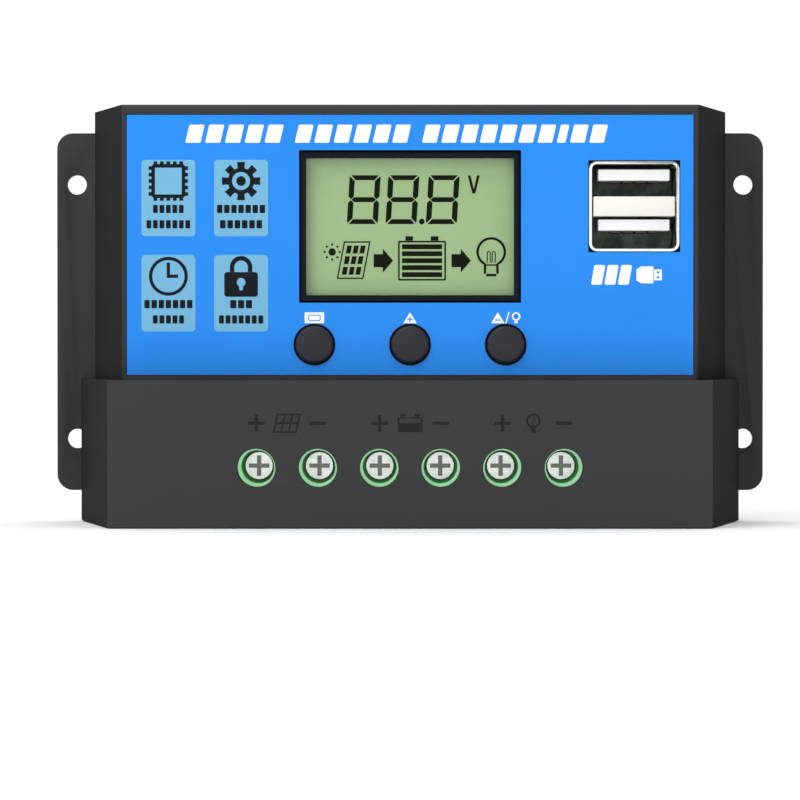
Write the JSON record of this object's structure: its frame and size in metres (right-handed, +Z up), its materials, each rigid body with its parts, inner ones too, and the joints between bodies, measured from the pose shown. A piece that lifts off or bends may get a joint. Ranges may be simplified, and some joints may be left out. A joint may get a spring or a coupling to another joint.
{
  "type": "solar charge controller",
  "caption": "Wall-mounted solar charge controller: eared back plate, sloped housing with display, push buttons and charging sockets, and a deeper cover over clamp terminals.",
  "frame": {"origin": "centre of the mounting-hole pattern, on the wall plane at the back of the plate", "axes": "+X right, +Z up, +Y into the wall; the face with the display looks along -Y"},
  "size_m": [0.1334, 0.035, 0.0771],
  "materials": {
    "back_plate": "satin black paint",
    "housing": "fine spark-eroded texture",
    "label": "satin printed film",
    "display_frame": "glossy black",
    "display_glass": "polarising film on glass",
    "white_plastic": "moulded",
    "board": "solder mask",
    "pins": "plated",
    "button": "satin",
    "black_parts": "moulded",
    "socket_steel": "nickel plated",
    "terminal_green": "moulded",
    "screw_steel": "zinc plated",
    "clamp_steel": "zinc plated",
    "contact_metal": "tin plated",
    "capacitor_sleeve": "shrunk sleeve",
    "ferrite": "sintered",
    "silicone": "soft pad"
  },
  "bodies": {
    "controller": {"back_plate": "back_plate", "front_housing": "housing", "terminal_cover": "housing", "face_label": "label", "display_frame": "display_frame", "display_glass": "display_glass", "display_backlight": "white_plastic", "display_board": "board", "pin_header": "pins", "switch_body_menu": "black_parts", "switch_body_up": "black_parts", "switch_body_down": "black_parts", "usb_shell": "socket_steel", "usb_insulator": "white_plastic", "usb_divider": "white_plastic", "main_board": "board", "terminal_block_solar": "terminal_green", "terminal_block_battery": "terminal_green", "terminal_block_load": "terminal_green", "contact_bar_solar_plus": "contact_metal", "contact_bar_solar_minus": "contact_metal", "contact_bar_battery_plus": "contact_metal", "contact_bar_battery_minus": "contact_metal", "contact_bar_load_plus": "contact_metal", "contact_bar_load_minus": "contact_metal", "case_screw_top_left": "screw_steel", "case_screw_top_right": "screw_steel", "case_screw_bottom_left": "screw_steel", "case_screw_bottom_right": "screw_steel", "capacitor_panel": "capacitor_sleeve", "capacitor_battery": "capacitor_sleeve", "inductor": "ferrite", "transistor_charge_a": "black_parts", "transistor_charge_b": "black_parts", "transistor_load_a": "black_parts", "transistor_load_b": "black_parts", "thermal_pad": "silicone", "microcontroller": "black_parts", "usb_regulator": "black_parts", "reverse_diode": "black_parts", "shunt_link": "contact_metal"},
    "menu_button": {"button_menu": "button", "switch_plunger_menu": "white_plastic"},
    "up_button": {"button_up": "button", "switch_plunger_up": "white_plastic"},
    "down_button": {"button_down": "button", "switch_plunger_down": "white_plastic"},
    "solar_plus_screw": {"terminal_screw_solar_plus": "screw_steel"},
    "solar_plus_cage": {"clamp_cage_solar_plus": "clamp_steel"},
    "solar_minus_screw": {"terminal_screw_solar_minus": "screw_steel"},
    "solar_minus_cage": {"clamp_cage_solar_minus": "clamp_steel"},
    "battery_plus_screw": {"terminal_screw_battery_plus": "screw_steel"},
    "battery_plus_cage": {"clamp_cage_battery_plus": "clamp_steel"},
    "battery_minus_screw": {"terminal_screw_battery_minus": "screw_steel"},
    "battery_minus_cage": {"clamp_cage_battery_minus": "clamp_steel"},
    "load_plus_screw": {"terminal_screw_load_plus": "screw_steel"},
    "load_plus_cage": {"clamp_cage_load_plus": "clamp_steel"},
    "load_minus_screw": {"terminal_screw_load_minus": "screw_steel"},
    "load_minus_cage": {"clamp_cage_load_minus": "clamp_steel"}
  },
  "joints": [
    {"name": "menu_button_press", "type": "slide", "parent": "controller", "child": "menu_button", "axis": [0, 1, 0], "range_m": [0, 0.0004], "stiffness_N_per_m": 500, "springref_m": -0.003},
    {"name": "up_button_press", "type": "slide", "parent": "controller", "child": "up_button", "axis": [0, 1, 0], "range_m": [0, 0.0004], "stiffness_N_per_m": 500, "springref_m": -0.003},
    {"name": "down_button_press", "type": "slide", "parent": "controller", "child": "down_button", "axis": [0, 1, 0], "range_m": [0, 0.0004], "stiffness_N_per_m": 500, "springref_m": -0.003},
    {"name": "solar_plus_screw_turn", "type": "hinge", "parent": "controller", "child": "solar_plus_screw", "pos_m": [-0.02792, -0.0175, -0.0286], "axis": [0, 1, 0], "range_deg": [0, 1921]},
    {"name": "solar_plus_cage_rise", "type": "slide", "parent": "controller", "child": "solar_plus_cage", "axis": [0, -1, 0], "range_m": [0, 0.0032]},
    {"name": "solar_minus_screw_turn", "type": "hinge", "parent": "controller", "child": "solar_minus_screw", "pos_m": [-0.01675, -0.0175, -0.0286], "axis": [0, 1, 0], "range_deg": [0, 1921]},
    {"name": "solar_minus_cage_rise", "type": "slide", "parent": "controller", "child": "solar_minus_cage", "axis": [0, -1, 0], "range_m": [0, 0.0032]},
    {"name": "battery_plus_screw_turn", "type": "hinge", "parent": "controller", "child": "battery_plus_screw", "pos_m": [-0.00558, -0.0175, -0.0286], "axis": [0, 1, 0], "range_deg": [0, 1921]},
    {"name": "battery_plus_cage_rise", "type": "slide", "parent": "controller", "child": "battery_plus_cage", "axis": [0, -1, 0], "range_m": [0, 0.0032]},
    {"name": "battery_minus_screw_turn", "type": "hinge", "parent": "controller", "child": "battery_minus_screw", "pos_m": [0.00558, -0.0175, -0.0286], "axis": [0, 1, 0], "range_deg": [0, 1921]},
    {"name": "battery_minus_cage_rise", "type": "slide", "parent": "controller", "child": "battery_minus_cage", "axis": [0, -1, 0], "range_m": [0, 0.0032]},
    {"name": "load_plus_screw_turn", "type": "hinge", "parent": "controller", "child": "load_plus_screw", "pos_m": [0.01675, -0.0175, -0.0286], "axis": [0, 1, 0], "range_deg": [0, 1921]},
    {"name": "load_plus_cage_rise", "type": "slide", "parent": "controller", "child": "load_plus_cage", "axis": [0, -1, 0], "range_m": [0, 0.0032]},
    {"name": "load_minus_screw_turn", "type": "hinge", "parent": "controller", "child": "load_minus_screw", "pos_m": [0.02792, -0.0175, -0.0286], "axis": [0, 1, 0], "range_deg": [0, 1921]},
    {"name": "load_minus_cage_rise", "type": "slide", "parent": "controller", "child": "load_minus_cage", "axis": [0, -1, 0], "range_m": [0, 0.0032]}
  ],
  "couplings": [
    {"joint": "solar_plus_screw_turn", "follows": "solar_plus_cage_rise", "rad_per_m": 10472},
    {"joint": "solar_minus_screw_turn", "follows": "solar_minus_cage_rise", "rad_per_m": 10472},
    {"joint": "battery_plus_screw_turn", "follows": "battery_plus_cage_rise", "rad_per_m": 10472},
    {"joint": "battery_minus_screw_turn", "follows": "battery_minus_cage_rise", "rad_per_m": 10472},
    {"joint": "load_plus_screw_turn", "follows": "load_plus_cage_rise", "rad_per_m": 10472},
    {"joint": "load_minus_screw_turn", "follows": "load_minus_cage_rise", "rad_per_m": 10472}
  ]
}
